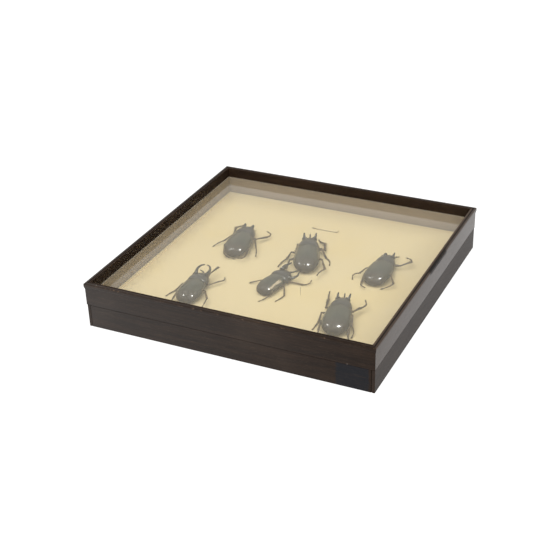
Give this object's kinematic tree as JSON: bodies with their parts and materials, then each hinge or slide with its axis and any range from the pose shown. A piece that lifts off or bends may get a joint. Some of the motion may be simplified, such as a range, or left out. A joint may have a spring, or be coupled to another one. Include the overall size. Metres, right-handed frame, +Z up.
{
  "type": "framed beetle collection",
  "caption": "Flat square insect box with a glazed lift-off lid, holding dried black rhinoceros beetles on a cream paper floor.",
  "frame": {"origin": "centre of the box's underside, on the surface it rests on", "axes": "+Z up through the glass, -Y towards the near side of the picture, +X along that side to the right"},
  "size_m": [0.4, 0.4, 0.064],
  "materials": {
    "base_wood": "dark brown-black lacquer, semi-gloss, lightly worn",
    "lid_wood": "dark brown-black lacquer, semi-gloss, worn on the lip",
    "bead_wood": "dark stain, satin",
    "wall_lining": "matte taupe lining",
    "pad_board": "matte",
    "cream_paper": "matte cream, slightly yellowed",
    "label_paper": "matte cream, bare",
    "clear_glass": "polished",
    "black_chitin": "polished black, duller between the wing cases",
    "pin_steel": "dull"
  },
  "bodies": {
    "root": {"base_left_board": "base_wood", "base_right_board": "base_wood", "base_front_board": "base_wood", "base_back_board": "base_wood", "base_bottom_panel": "base_wood", "inner_wall_left": "wall_lining", "inner_wall_right": "wall_lining", "inner_wall_front": "wall_lining", "inner_wall_back": "wall_lining", "pinning_pad": "pad_board", "floor_paper": "cream_paper", "label_slip": "label_paper", "setting_pin": "pin_steel", "lid_rail_front": "lid_wood", "lid_rail_right": "lid_wood", "lid_rail_back": "lid_wood", "lid_rail_left": "lid_wood", "glazing_bead_front": "bead_wood", "glazing_bead_right": "bead_wood", "glazing_bead_back": "bead_wood", "glazing_bead_left": "bead_wood", "glass_pane": "clear_glass", "beetle_upper_left": "black_chitin", "beetle_upper_middle": "black_chitin", "beetle_right": "black_chitin", "beetle_lower_left": "black_chitin", "beetle_centre": "black_chitin", "beetle_lower_right": "black_chitin"}
  },
  "joints": []
}
